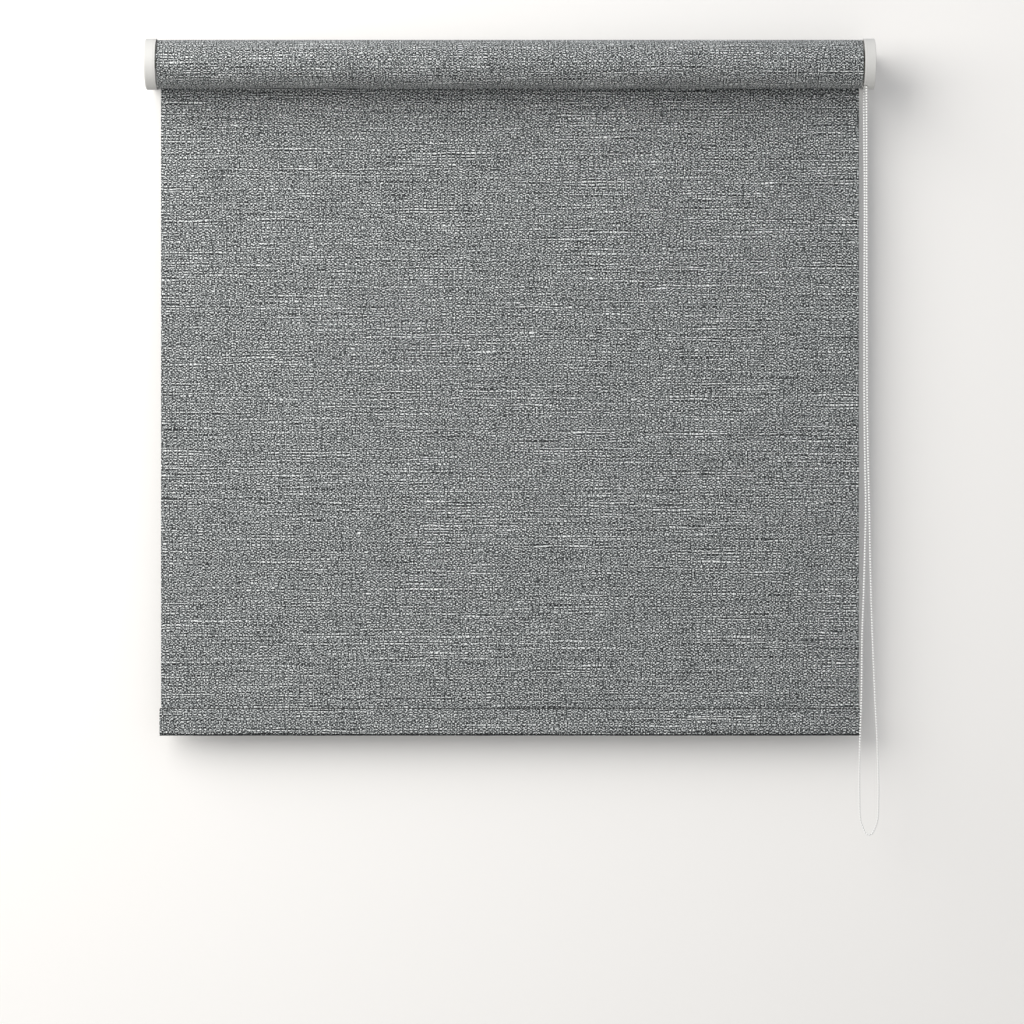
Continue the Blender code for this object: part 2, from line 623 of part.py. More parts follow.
place(box("hanging_cloth", (-CLOTH_HALF, CLOTH_Y - CLOTH_THICK / 2, -DROP + GAP),
          (CLOTH_HALF, CLOTH_Y + CLOTH_THICK / 2, 0)), HEM, CLOTH)
HEM_ROUND, BAR_ROUND, BAR_INNER_ROUND = 0.0026, 0.0009, 0.0003
place(tube_section("hem_sleeve", HEM_HALF, rounded_rectangle(HEM_THICK, HEM_HIGH, HEM_ROUND),
                   rounded_rectangle(HEM_THICK - 2 * CLOTH_THICK, HEM_HIGH - 2 * CLOTH_THICK,
                                     HEM_ROUND - CLOTH_THICK)), HEM, CLOTH)
place(tube_section("hem_bar", BAR_HALF, rounded_rectangle(BAR_THICK, BAR_HIGH, BAR_ROUND, 2),
                   rounded_rectangle(BAR_THICK - 2 * BAR_WALL, BAR_HIGH - 2 * BAR_WALL,
                                     BAR_INNER_ROUND, 2)), HEM, ALUMINIUM)
place(hem_cap("hem_cap_left", -1), HEM, GREY_PLASTIC)
place(hem_cap("hem_cap_right", 1), HEM, GREY_PLASTIC)

ROUND_PIECES = ("roller_tube", "wound_cloth", "clutch_core", "drive_crown", "idle_plug",
                "idle_pin", "chain_wheel", "retaining_washer", "retaining_screw")
for piece in PARTS.objects:
    if piece.name in ROUND_PIECES:
        piece.data.shade_smooth()
        piece.data.set_sharp_from_angle(angle=math.radians(35))
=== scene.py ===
"""A roller blind: linen-look cloth on a tube between two wall brackets, worked by a bead chain."""
import math
import random

import bmesh
import bpy
from mathutils import Matrix, Vector


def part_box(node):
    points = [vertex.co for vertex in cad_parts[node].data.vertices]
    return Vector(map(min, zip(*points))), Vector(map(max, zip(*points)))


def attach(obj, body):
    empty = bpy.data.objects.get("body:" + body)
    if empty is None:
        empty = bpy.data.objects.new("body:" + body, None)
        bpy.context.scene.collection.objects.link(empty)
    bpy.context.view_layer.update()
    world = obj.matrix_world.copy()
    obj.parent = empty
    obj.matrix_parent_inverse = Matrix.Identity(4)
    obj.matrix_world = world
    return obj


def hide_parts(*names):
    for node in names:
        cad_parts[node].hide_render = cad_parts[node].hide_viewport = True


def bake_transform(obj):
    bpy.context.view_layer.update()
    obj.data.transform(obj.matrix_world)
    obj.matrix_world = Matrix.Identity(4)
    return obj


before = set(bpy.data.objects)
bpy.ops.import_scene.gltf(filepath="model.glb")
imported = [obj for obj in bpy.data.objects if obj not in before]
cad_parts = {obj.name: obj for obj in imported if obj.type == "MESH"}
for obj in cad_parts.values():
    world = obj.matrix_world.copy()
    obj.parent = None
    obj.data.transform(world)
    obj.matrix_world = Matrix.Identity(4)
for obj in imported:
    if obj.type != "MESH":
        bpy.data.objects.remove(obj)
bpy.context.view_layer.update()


# The operating chain: a loop of white moulded beads on a polyester cord, 2.6 mm over the beads.
# It hangs free from the clutch's wheel, and its own twist turns the bottom of the loop out of
# the blind's plane.

CHAIN_ROUTE_MM = [
    (404.2, -47.97, -0.3), (404.2, -48.0, -3), (404.0, -48.0, -50), (404.9, -48.0, -150),
    (404.6, -48.0, -270), (404.6, -48.0, -380), (405.3, -48.0, -450), (406.2, -48.0, -505),
    (405.0, -48.1, -560), (403.5, -48.4, -610), (401.9, -49.0, -655), (401.1, -50.0, -719),
    (399.3, -51.9, -767), (398.3, -53.6, -814), (398.6, -54.2, -846), (399.4, -54.7, -860),
    (401.5, -55.9, -866.9), (403.8, -57.3, -873.0), (405.8, -58.4, -875.9),
    (408.6, -60.0, -876.8), (411.4, -61.6, -875.9), (413.4, -62.8, -873.0),
    (415.7, -64.1, -866.9), (417.8, -65.3, -860), (418.6, -66.0, -846), (418.7, -66.4, -814),
    (417.1, -68.1, -767), (414.5, -70.0, -719), (411.7, -71.0, -655), (410.1, -71.6, -610),
    (408.8, -71.9, -560), (407.8, -72.0, -505), (406.5, -72.0, -450), (405.5, -72.0, -380),
    (405.2, -72.0, -270), (404.9, -72.0, -150), (404.7, -72.0, -50), (404.2, -72.0, -3),
    (404.2, -72.03, -0.3),
]
BEAD = 0.0026
BEAD_PITCH = 0.00315
CORD = 0.0008
FIRST_BEAD = BEAD_PITCH - 0.0003        # the loop's first bead follows the last on the wheel
ARC_STEPS = 240
ON_WHEEL_LOW, ON_WHEEL_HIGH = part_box("chain_on_wheel")
WHEEL_X = (ON_WHEEL_LOW.x + ON_WHEEL_HIGH.x) / 2
AXIS_Y = (ON_WHEEL_LOW.y + ON_WHEEL_HIGH.y) / 2
WHEEL_R = (ON_WHEEL_HIGH.y - ON_WHEEL_LOW.y - BEAD) / 2


def linear(hex_colour):
    """A colour's sRGB hex value as the linear RGBA that a shader takes."""
    parts = [int(hex_colour[i:i + 2], 16) / 255 for i in (1, 3, 5)]
    return (*[p / 12.92 if p <= 0.04045 else ((p + 0.055) / 1.055) ** 2.4 for p in parts], 1)


def add(tree, kind, inputs=(), **settings):
    """Adds a node with its settings; an input takes a value or another node's output."""
    made = tree.nodes.new("ShaderNode" + kind)
    for name, value in settings.items():
        setattr(made, name, value)
    for name, value in dict(inputs).items():
        if isinstance(value, bpy.types.Node):
            value = value.outputs[0]
        if isinstance(value, bpy.types.NodeSocket):
            tree.links.new(value, made.inputs[name])
        else:
            made.inputs[name].default_value = value
    return made


def grained(name, colours, gloss, grain_mm, height_mm, cloud_mm=30, **sockets):
    """A material with a grain of that size and height, drifting between two colours and glosses."""
    made = bpy.data.materials.new(name)
    made.use_nodes = True
    tree = made.node_tree
    shader = tree.nodes["Principled BSDF"]
    for socket, value in sockets.items():
        shader.inputs[socket.replace("_", " ")].default_value = value
    spot = add(tree, "TexCoord").outputs["Object"]
    size = add(tree, "Mapping", {"Vector": spot, "Scale": [1000 / mm for mm in grain_mm]})
    grain = add(tree, "TexNoise", {"Vector": size, "Scale": 1.0, "Detail": 3.0})
    cloud = add(tree, "TexNoise", {"Vector": spot, "Scale": 1000 / cloud_mm, "Detail": 4.0})
    drift = add(tree, "Math", {0: grain, 1: 0.35}, operation="MULTIPLY")
    drift = add(tree, "Math", {0: cloud, 1: 0.65, 2: drift}, operation="MULTIPLY_ADD")
    spread = add(tree, "MapRange", {"Value": drift, "From Min": 0.35, "From Max": 0.65})
    tint = add(tree, "Mix", {"Factor": spread, 6: linear(colours[0]), 7: linear(colours[1])},
               data_type="RGBA")        # a mix of colours has its inputs at 6 and 7
    polish = add(tree, "MapRange", {"Value": spread, "To Min": gloss[0], "To Max": gloss[1]})
    relief = add(tree, "Bump", {"Height": grain, "Strength": 0.6, "Distance": height_mm / 1000})
    tree.links.new(tint.outputs[2], shader.inputs["Base Color"])
    tree.links.new(polish.outputs[0], shader.inputs["Roughness"])
    tree.links.new(relief.outputs[0], shader.inputs["Normal"])
    return made


def piece(name, bm, material, body, smooth_under=40):
    """Makes a bmesh an object; edges under so many degrees are smooth."""
    mesh = bpy.data.meshes.new(name)
    bm.to_mesh(mesh)
    bm.free()
    mesh.materials.append(material)
    mesh.shade_smooth()
    mesh.set_sharp_from_angle(angle=math.radians(smooth_under))
    made = bpy.data.objects.new(name, mesh)
    bpy.context.collection.objects.link(made)
    if body:
        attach(made, body)
    return made


def repeated(shape, places):
    """One mesh of a small shape set at each of many places."""
    small = bpy.data.meshes.new("small_shape")
    shape.to_mesh(small)
    shape.free()
    bm = bmesh.new()
    for place in places:
        copy = small.copy()
        copy.transform(place)
        bm.from_mesh(copy)
        bpy.data.meshes.remove(copy)
    bpy.data.meshes.remove(small)
    return bm


def extruded(bm, edges):
    """Extrudes edges, and gives the new verts and the new edges between them."""
    made = bmesh.ops.extrude_edge_only(bm, edges=edges)["geom"]
    verts = [g for g in made if isinstance(g, bmesh.types.BMVert)]
    new = set(verts)
    return verts, [g for g in made if isinstance(g, bmesh.types.BMEdge) and set(g.verts) <= new]


def smooth_route(points, per_span=12):
    """Points on a smooth curve through a given route."""
    ends = [2 * points[0] - points[1], *points, 2 * points[-1] - points[-2]]
    route = []
    for a, b, c, d in zip(ends, ends[1:], ends[2:], ends[3:]):
        for t in (i / per_span for i in range(per_span)):
            route.append(0.5 * (2 * b + (c - a) * t + (2 * a - 5 * b + 4 * c - d) * t ** 2
                                + (3 * b - a - 3 * c + d) * t ** 3))
    return route + [points[-1]]


def beads_along(route, first):
    """Beads at their pitch along a route, each with the cord that leads on from it."""
    bead = bmesh.new()
    bmesh.ops.create_uvsphere(bead, u_segments=8, v_segments=6, radius=BEAD / 2)
    moulded = set(bead.faces)
    neck = BEAD_PITCH - BEAD * 0.8
    bmesh.ops.create_cone(bead, cap_ends=False, segments=6, radius1=CORD / 2, radius2=CORD / 2,
                          depth=neck, matrix=Matrix.Translation((0, 0, BEAD_PITCH / 2)))
    for face in set(bead.faces) - moulded:
        # The cord's material is painted dark grey, as the shade between the beads.
        face.material_index = 1         # the cord's own material
    centres, distance = [], -first
    for start, end in zip(route, route[1:]):
        step = end - start
        while distance + step.length >= 0:
            centres.append(start + step * (-distance / step.length))
            distance -= BEAD_PITCH
        distance += step.length
    centres.append(2 * centres[-1] - centres[-2])
    return repeated(bead, [Matrix.Translation(here)
                           @ (there - here).to_track_quat("Z", "Y").to_matrix().to_4x4()
                           for here, there in zip(centres, centres[1:])])


# Acetal, moulded on to the cord: bright, slightly glossy, with a trace of handling.
acetal = grained("acetal_moulded_white", ("#FEFEFC", "#F8F8F5"), (0.30, 0.42), (1.5,) * 3, 0.02,
                 IOR=1.48)

# Twisted polyester cord, painted dark grey as the shade that falls between the beads.
cord_painted_shade = grained("polyester_cord_painted_shade", ("#6E6C68", "#5F5D5A"), (0.6, 0.7), (0.5,) * 3, 0.03)

chain_line = smooth_route([Vector(point) / 1000 for point in CHAIN_ROUTE_MM])
chain = piece("bead_chain", beads_along(chain_line, FIRST_BEAD), acetal, "mounting",
              80)
chain.data.materials.append(cord_painted_shade)
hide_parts("operating_chain")

half_turn = [Vector((WHEEL_X, AXIS_Y + WHEEL_R * math.cos(a), WHEEL_R * math.sin(a)))
             for a in (math.pi * i / ARC_STEPS for i in range(ARC_STEPS + 1))]
wheel_beads = piece("beads_on_wheel", beads_along(half_turn, 0.0), acetal, "mounting",
                    80)
wheel_beads.data.materials.append(cord_painted_shade)
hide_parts("chain_on_wheel")


# The studio: a pale wall that the blind hangs on, a pale floor, a wide soft light from the upper
# left and an even light all round. The wall can't be seen from behind, so that the blind can, and
# it lets the even light through to the blind's back.

FLOOR_Z = -2.05                 # lower than the blind ever hangs
STUDIO_HALF = 4.0
WALL_GAP = 0.002
KEY_PLACE, KEY_AIM = Vector((-1.7, -1.6, 0.8)), Vector((0.1, 0, -0.4))
KEY_SIDE, KEY_WATTS = 2.6, 77
AIR_STRENGTH = 0.60
CAMERA_PLACE, CAMERA_LENS = (0.0023, -4.032, -0.5095), 122.7


def studio_sheet(name, turned, place, hex_colour, see_through):
    """A wide matt sheet; a see-through one shows only from its front, and stops no light."""
    bm = bmesh.new()
    bmesh.ops.create_grid(bm, x_segments=1, y_segments=1, size=STUDIO_HALF)
    bmesh.ops.rotate(bm, verts=bm.verts, matrix=Matrix.Rotation(turned, 3, "X"))
    bmesh.ops.translate(bm, verts=bm.verts, vec=place)
    mesh = bpy.data.meshes.new(name)
    bm.to_mesh(mesh)
    bm.free()
    paint = bpy.data.materials.new(name + "_paint")
    paint.use_nodes = True
    tree = paint.node_tree
    shader = tree.nodes["Principled BSDF"]
    shader.inputs["Base Color"].default_value = linear(hex_colour)
    shader.inputs["Roughness"].default_value = 0.9
    shader.inputs["Specular IOR Level"].default_value = 0.1
    if see_through:
        behind = add(tree, "NewGeometry").outputs["Backfacing"]
        seen = add(tree, "LightPath").outputs["Is Camera Ray"]
        unseen = add(tree, "Math", {0: 1.0, 1: seen}, operation="SUBTRACT")
        open_to = add(tree, "Math", {0: behind, 1: unseen}, operation="MAXIMUM")
        either = add(tree, "MixShader", {0: open_to, 1: shader, 2: add(tree, "BsdfTransparent")})
        tree.links.new(either.outputs[0], tree.nodes["Material Output"].inputs["Surface"])
    mesh.materials.append(paint)
    made = bpy.data.objects.new(name, mesh)
    bpy.context.collection.objects.link(made)


studio_sheet("studio_wall", math.pi / 2, (0, WALL_GAP, FLOOR_Z + STUDIO_HALF), "#FAF8F5", True)
studio_sheet("studio_floor", 0, (0, 0, FLOOR_Z), "#D2D0CC", False)

key_data = bpy.data.lights.new("key_light", "AREA")
key_data.shape = "RECTANGLE"
key_data.size, key_data.size_y = KEY_SIDE, KEY_SIDE
key_data.energy = KEY_WATTS
key_data.color = (1.0, 0.985, 0.96)
key_light = bpy.data.objects.new("key_light", key_data)
key_light.location = KEY_PLACE
key_light.rotation_euler = (KEY_AIM - KEY_PLACE).to_track_quat("-Z", "Y").to_euler()
bpy.context.collection.objects.link(key_light)

studio_air = bpy.data.worlds.new("studio_air")
studio_air.use_nodes = True
even_light = studio_air.node_tree.nodes["Background"]
even_light.inputs["Color"].default_value = linear("#F4F6FA")
even_light.inputs["Strength"].default_value = AIR_STRENGTH
bpy.context.scene.world = studio_air
bpy.context.scene.view_settings.view_transform = "Standard"

camera_data = bpy.data.cameras.new("camera")
camera_data.sensor_width = 36
camera_data.lens = CAMERA_LENS
camera = bpy.data.objects.new("camera", camera_data)
camera.location = CAMERA_PLACE
camera.rotation_euler = (math.pi / 2, 0, 0)
bpy.context.collection.objects.link(camera)
bpy.context.scene.camera = camera


# The wound cloth: about eight turns of the blind's linen-look polyester, drawn tight on the tube.
# It comes off the back of the roll, so the roll stands in front of what hangs.

CLOTH = 0.0006
WRAP = 0.00075                  # from one turn to the next
TURNS = 8
STEPS_A_TURN = 48
EDGE_HOLD = 0.0004              # from a cut edge to the row of edges that holds it
WOUND_LOW, WOUND_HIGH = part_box("wound_cloth")
ROLL_R = (WOUND_HIGH.z - WOUND_LOW.z) / 2
CLOTH_HALF = WOUND_HIGH.x
AXIS = Vector((0, AXIS_Y, 0))

# The weave: a coarse plain weave of slub yarn. Its tone runs from 0, dark, to 1, light.
WEFT_MM = 1.65                  # from one weft yarn to the next
WARP_MM = 2.87                  # from one warp yarn to the next
SLUB_MM = 160                   # a slub's length
WANDER = (0.0065, 0.0032, 0)    # how far the yarns stray from their grid
# Painted shade: the gaps between the yarns are darkest, and each float is lighter towards its
# crown.
GAP_SHADE_TONE = 0.14
FLOAT_TONE, WEFT_TONE = 0.10, 0.60      # any float over the gaps, and a weft float over that
SLUB_TONE, CHANCE_TONE, SPECK_TONE, CLOUD_TONE = 1.15, 0.08, 2.6, 0.05
# Painted shade under the hem's fold: how much darker, and from how near to how far it fades.
FOLD_SHADE_TONE, FOLD_SHADE_NEAR, FOLD_SHADE_FAR = 0.5, 0.0028, 0.0048


def linen(name, uv_map=None, shade_line_at=None):
    """The weave on a piece's own UV map in metres, or else on the plane of the hanging cloth.

    A painted shade darkens it along a line, given as the distance round the piece."""
    made = bpy.data.materials.new(name)
    made.use_nodes = True
    tree = made.node_tree
    shader = tree.nodes["Principled BSDF"]
    shader.inputs["Roughness"].default_value = 0.85
    shader.inputs["Specular IOR Level"].default_value = 0.3
    shader.inputs["Sheen Weight"].default_value = 0.12
    shader.inputs["Sheen Roughness"].default_value = 0.5
    if uv_map:
        flat = add(tree, "UVMap", uv_map=uv_map)
    else:
        spot = add(tree, "SeparateXYZ", {"Vector": add(tree, "TexCoord").outputs["Object"]})
        flat = add(tree, "CombineXYZ", {"X": spot.outputs["X"], "Y": spot.outputs["Z"]})

    def maths(operation, *values):
        return add(tree, "Math", dict(enumerate(values)), operation=operation)

    def centred(value):
        return maths("SUBTRACT", value, 0.5)

    def noise(vector, mm, detail, offset=(0, 0, 0)):
        size = add(tree, "Mapping", {"Vector": vector, "Location": offset,
                                     "Scale": (1000 / mm[0], 1000 / mm[1], 1)})
        return add(tree, "TexNoise", {"Vector": size, "Scale": 1.0, "Detail": detail},
                   noise_dimensions="2D")

    # Warp yarns stay upright and weft yarns level, but the gaps between them vary.
    wander = add(tree, "CombineXYZ", {"X": centred(noise(flat, (6.0, 30.0), 1.0)),
                                      "Y": centred(noise(flat, (40.0, 4.5), 1.0))})
    moved = add(tree, "VectorMath", {0: wander, 1: WANDER, 2: flat}, operation="MULTIPLY_ADD")
    grid = add(tree, "VectorMath", {0: moved, 1: (1000 / WARP_MM, 1000 / WEFT_MM, 0)},
               operation="MULTIPLY")
    cell = add(tree, "VectorMath", {0: grid}, operation="FLOOR")
    within = add(tree, "VectorMath", {0: grid}, operation="FRACTION")
    number = add(tree, "SeparateXYZ", {0: cell})
    inside = add(tree, "SeparateXYZ", {0: within})
    both = maths("ADD", number.outputs["X"], number.outputs["Y"])
    over = maths("PINGPONG", both, 1.0)
    swell_x = maths("SINE", maths("MULTIPLY", inside.outputs["X"], math.pi))
    swell_y = maths("SINE", maths("MULTIPLY", inside.outputs["Y"], math.pi))
    float_round_and_shade = maths("MULTIPLY", maths("POWER", swell_x, 0.5), swell_y)
    chance = add(tree, "TexWhiteNoise", {"Vector": cell}, noise_dimensions="2D")
    every_second = maths("MULTIPLY_ADD", maths("PINGPONG", number.outputs["Y"], 1.0), 2.0, -1.0)
    slub = maths("MULTIPLY", centred(noise(flat, (SLUB_MM, 8.0), 1.0)), every_second)
    speck = noise(flat, (1.6, 1.1), 1.0, (11.3, 5.9, 0))
    cloud = noise(flat, (40.0, 28.0), 2.0, (1.7, 2.3, 0))

    # Weft floats are lightest and warp floats darker; the gaps between them are darkest and each
    # float lighter at its crown, as painted shade of the round yarns.
    tone = maths("MULTIPLY_ADD", maths("MULTIPLY", over, float_round_and_shade), WEFT_TONE, GAP_SHADE_TONE)
    for part, share in ((float_round_and_shade, FLOAT_TONE), (centred(chance), CHANCE_TONE),
                        (slub, SLUB_TONE), (centred(speck), SPECK_TONE),
                        (centred(cloud), CLOUD_TONE)):
        tone = maths("MULTIPLY_ADD", part, share, tone)
    if shade_line_at:
        # Painted shade: a dark line just above the fold under the pocket, where shade falls under
        # the hem.
        run = add(tree, "SeparateXYZ", {"Vector": flat}).outputs["Y"]
        away = maths("ABSOLUTE", maths("ADD", run, shade_line_at))
        painted_fold_shade = add(tree, "MapRange", {"Value": away, "From Min": FOLD_SHADE_NEAR,
                                       "From Max": FOLD_SHADE_FAR, "To Min": FOLD_SHADE_TONE,
                                       "To Max": 0.0})
        tone = maths("SUBTRACT", tone, painted_fold_shade)
    ramp = add(tree, "ValToRGB", {0: tone})
    stops = ramp.color_ramp.elements
    stops[0].position, stops[0].color = 0.0, linear("#161718")
    stops[1].position, stops[1].color = 1.0, linear("#FBFDFC")
    for position, hex_colour in ((0.28, "#424546"), (0.50, "#797E7E"), (0.72, "#C7CBCB")):
        stop = stops.new(position)
        stop.color = linear(hex_colour)
    tree.links.new(ramp.outputs["Color"], shader.inputs["Base Color"])
    relief = add(tree, "Bump", {"Height": tone, "Strength": 0.5, "Distance": 0.0003})
    tree.links.new(relief.outputs[0], shader.inputs["Normal"])
    return made


def held_at(bm, axis, places):
    """Cuts a row of edges across a sheet, so that its edge's thickness doesn't bend its shade."""
    for place in places:
        normal = Vector((0, 0, 0))
        normal[axis] = 1
        bmesh.ops.bisect_plane(bm, geom=[*bm.verts, *bm.edges, *bm.faces], plane_co=normal * place,
                               plane_no=normal, dist=1e-7)


linen_wound = linen("linen_look_polyester_wound", "weave")

bm = bmesh.new()
weave = bm.loops.layers.uv.new("weave")
edge_verts = [bm.verts.new((side * CLOTH_HALF, AXIS_Y + ROLL_R, 0)) for side in (-1, 1)]
leading = bm.edges.new(edge_verts)
run = {vert: 0.0 for vert in edge_verts}
turn = 2 * math.pi / STEPS_A_TURN
radius = ROLL_R
travelled = 0.0
for step in range(TURNS * STEPS_A_TURN):
    verts, (leading,) = extruded(bm, [leading])
    smaller = (radius - WRAP / STEPS_A_TURN) / radius
    bmesh.ops.rotate(bm, verts=verts, cent=AXIS, matrix=Matrix.Rotation(turn, 3, "X"))
    bmesh.ops.scale(bm, verts=verts, vec=(1, smaller, smaller),
                    space=Matrix.Translation(-AXIS))
    radius *= smaller
    travelled += radius * turn
    run.update({vert: travelled for vert in verts})
for face in bm.faces:
    for loop in face.loops:
        loop[weave].uv = (loop.vert.co.x, run[loop.vert])
bm.normal_update()
bm.faces.ensure_lookup_table()
if bm.faces[0].normal.dot(bm.faces[0].calc_center_median() - AXIS) < 0:
    bmesh.ops.reverse_faces(bm, faces=bm.faces)
held_at(bm, 0, (EDGE_HOLD - CLOTH_HALF, CLOTH_HALF - EDGE_HOLD))
wound = piece("wound_linen", bm, linen_wound, "roller", 60)
thick = wound.modifiers.new("Cloth", "SOLIDIFY")
thick.thickness = CLOTH
thick.offset = -1
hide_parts("wound_cloth")


# The hanging cloth: one layer of the same linen-look polyester, cut straight at its edges.
# It leaves the back of the roll at the height of the axis and hangs down to the hem's seam.

HANG_ROWS, BACK_ROWS, COLUMNS = 64, 5, 40
BACK_TURN = math.radians(20)    # how far the modelled sheet runs on round the roll's back
TUCK = 0.0008                   # how far its last row slips under the roll's outer turn
RIPPLE, RIPPLE_WIDE = 0.003, 0.22
HANGING_LOW, HANGING_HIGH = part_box("hanging_cloth")
TOP_Y = AXIS_Y + ROLL_R + CLOTH / 2
BOTTOM_Y = TOP_Y + 0.0009       # in the mouth of the hem's pocket
SEAM_Z = HANGING_LOW.z

linen_hanging = linen("linen_look_polyester_hanging")

bm = bmesh.new()
bmesh.ops.create_grid(bm, x_segments=COLUMNS, y_segments=HANG_ROWS + BACK_ROWS, size=0.5)
for vert in bm.verts:
    row = round((0.5 - vert.co.y) * (HANG_ROWS + BACK_ROWS))
    vert.co.x *= 2 * CLOTH_HALF
    if row < BACK_ROWS:
        share = 1 - row / BACK_ROWS
        reach = ROLL_R + CLOTH / 2 - TUCK * share ** 2
        vert.co.y = AXIS_Y + reach * math.cos(BACK_TURN * share)
        vert.co.z = reach * math.sin(BACK_TURN * share)
    else:
        # y drifts so that the smooth blend from roll to hem comes out even down the drop
        share = (row - BACK_ROWS) / HANG_ROWS
        eased = 0.5 - math.sin(math.asin(1 - 2 * share) / 3)
        vert.co.y = TOP_Y + (BOTTOM_Y - TOP_Y) * eased
        vert.co.z = SEAM_Z * share
held_at(bm, 0, (EDGE_HOLD - CLOTH_HALF, CLOTH_HALF - EDGE_HOLD))
held_at(bm, 2, (SEAM_Z + EDGE_HOLD,))
bm.normal_update()
hanging = piece("hanging_linen", bm, linen_hanging, None, 60)
free = hanging.vertex_groups.new(name="free")
for vert in hanging.data.vertices:
    share = min(max(vert.co.z / SEAM_Z, 0), 1)
    free.add([vert.index], math.sin(math.pi * share) ** 0.7, "REPLACE")
ripple = bpy.data.textures.new("cloth_ripple", "CLOUDS")
ripple.noise_scale = RIPPLE_WIDE
ripples = hanging.modifiers.new("Ripple", "DISPLACE")
ripples.texture = ripple
ripples.vertex_group = "free"
ripples.direction = "Y"
ripples.strength = RIPPLE
thick = hanging.modifiers.new("Cloth", "SOLIDIFY")
thick.thickness = CLOTH
thick.offset = 0
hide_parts("hanging_cloth")
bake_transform(hanging)


# The hem: the cloth turned back on itself and sewn into a pocket for the bar, a little wider
# than the cloth above it. A line of grey stitching runs along its top, and shows on both faces.

POCKET_LOW, POCKET_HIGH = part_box("hem_sleeve")
POCKET_HALF = POCKET_HIGH.x
POCKET_Y = (POCKET_LOW.y + POCKET_HIGH.y) / 2
POCKET_Z = (POCKET_LOW.z + POCKET_HIGH.z) / 2
POCKET_SIDE_MM = [(0.8, 15.5), (1.5, 15.0), (2.35, 13.9), (2.85, 12.0), (3.0, 8.0), (3.0, 0.0),
                  (3.0, -8.0), (2.85, -12.2), (2.3, -14.0), (1.3, -15.2), (0.0, -15.5)]
POCKET_UP = POCKET_SIDE_MM[0][1] / 1000
POCKET_SPANS = 60
SAG, BULGE = 0.00012, 0.0002    # how much each column of the pocket strays
FOLD_SHADE_UP = 0.0008              # from the pocket's lowest line to its front crease
STITCH, STITCH_PITCH, THREAD = 0.0030, 0.0036, 0.0013
STITCH_Y, STITCH_UP = 0.0012, 0.0001

bm = bmesh.new()
weave = bm.loops.layers.uv.new("weave")
side_mm = POCKET_SIDE_MM + [(-across, up) for across, up in reversed(POCKET_SIDE_MM[:-1])]
ring = [bm.verts.new((-POCKET_HALF, POCKET_Y - across / 1000, POCKET_Z + up / 1000))
        for across, up in side_mm]
edges = [bm.edges.new(pair) for pair in zip(ring, ring[1:] + ring[:1])]
run = {}
travelled = 0.0
for vert, after in zip(ring, ring[1:] + ring[:1]):
    run[vert] = travelled
    travelled += (after.co - vert.co).length
girth = travelled
for span in range(POCKET_SPANS):
    before = ring
    verts, edges = extruded(bm, edges)
    ring = [next(e.other_vert(v) for e in v.link_edges if e.other_vert(v) in verts)
            for v in before]
    bmesh.ops.translate(bm, verts=ring, vec=(2 * POCKET_HALF / POCKET_SPANS, 0, 0))
    run.update({vert: run[last] for vert, last in zip(ring, before)})
for face in bm.faces:
    runs = [run[loop.vert] for loop in face.loops]
    for loop, along in zip(face.loops, runs):
        closing = girth if along == 0 and max(runs) > girth / 2 else 0
        loop[weave].uv = (loop.vert.co.x, -(along + closing))
held_at(bm, 0, (EDGE_HOLD - POCKET_HALF, POCKET_HALF - EDGE_HOLD))
random.seed(7)
wave = {}
for vert in bm.verts:
    column = round(vert.co.x * 1000)
    if column not in wave:
        wave[column] = (random.uniform(-SAG, SAG), random.uniform(-BULGE, BULGE))
    drop, bulge = wave[column]
    low = min(max((POCKET_Z - vert.co.z) / POCKET_UP, 0), 1)
    vert.co.z += drop * low
    vert.co.y += bulge * (1 - abs(vert.co.z - POCKET_Z) / (POCKET_UP + 0.001))
bm.normal_update()
underneath = next(f for f in bm.faces if f.calc_center_median().z < POCKET_Z - POCKET_UP + 0.001)
if underneath.normal.z > 0:
    bmesh.ops.reverse_faces(bm, faces=bm.faces)
# Painted shade: the hem's linen is darkened along a line just above the fold under the pocket.
linen_hem = linen("linen_look_polyester_hem", "weave", shade_line_at=girth / 2 - FOLD_SHADE_UP)
pocket = piece("hem_pocket", bm, linen_hem, "hem", 60)
rounded = pocket.modifiers.new("Soft", "SUBSURF")
rounded.levels = rounded.render_levels = 1
thick = pocket.modifiers.new("Cloth", "SOLIDIFY")
thick.thickness = CLOTH
thick.offset = -1
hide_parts("hem_sleeve")

# Polyester sewing thread with a twisted, silky surface, near black: partly the thread's own colour
# and partly painted shade of the pinched seam.
thread_and_seam_shade = grained("polyester_thread_and_seam_shade", ("#1F2121", "#2B2D2D"), (0.5, 0.6), (0.6,) * 3,
                      0.05)

stitch = bmesh.new()
bmesh.ops.create_uvsphere(stitch, u_segments=6, v_segments=5, radius=0.5,
                          matrix=Matrix.Diagonal((STITCH, THREAD, THREAD, 1))
                          @ Matrix.Rotation(math.pi / 2, 4, "Y"))
stitches = int(2 * POCKET_HALF / STITCH_PITCH)
bm = repeated(stitch, [
    Matrix.Translation(((number - (stitches - 1) / 2) * STITCH_PITCH,
                        POCKET_Y + side * STITCH_Y, SEAM_Z + STITCH_UP))
    for side in (-1, 1) for number in range(stitches)])
seam = piece("hem_stitching", bm, thread_and_seam_shade, "hem", 80)


# The hem's bar and its caps: a flat extruded aluminium tube that weights the cloth, plugged at
# each end by a grey moulded cap.

aluminium = grained("aluminium_extruded_mill_finish", ("#C9CBCD", "#B7B9BC"), (0.28, 0.40),
                    (60, 0.5, 0.5), 0.01, Metallic=1.0)
pvc = grained("pvc_moulded_grey", ("#7C7F7D", "#6F7270"), (0.45, 0.60), (0.5,) * 3, 0.03)


def finish(node, material):
    """Gives a CAD piece its material."""
    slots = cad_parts[node].data.materials
    slots.clear()
    slots.append(material)


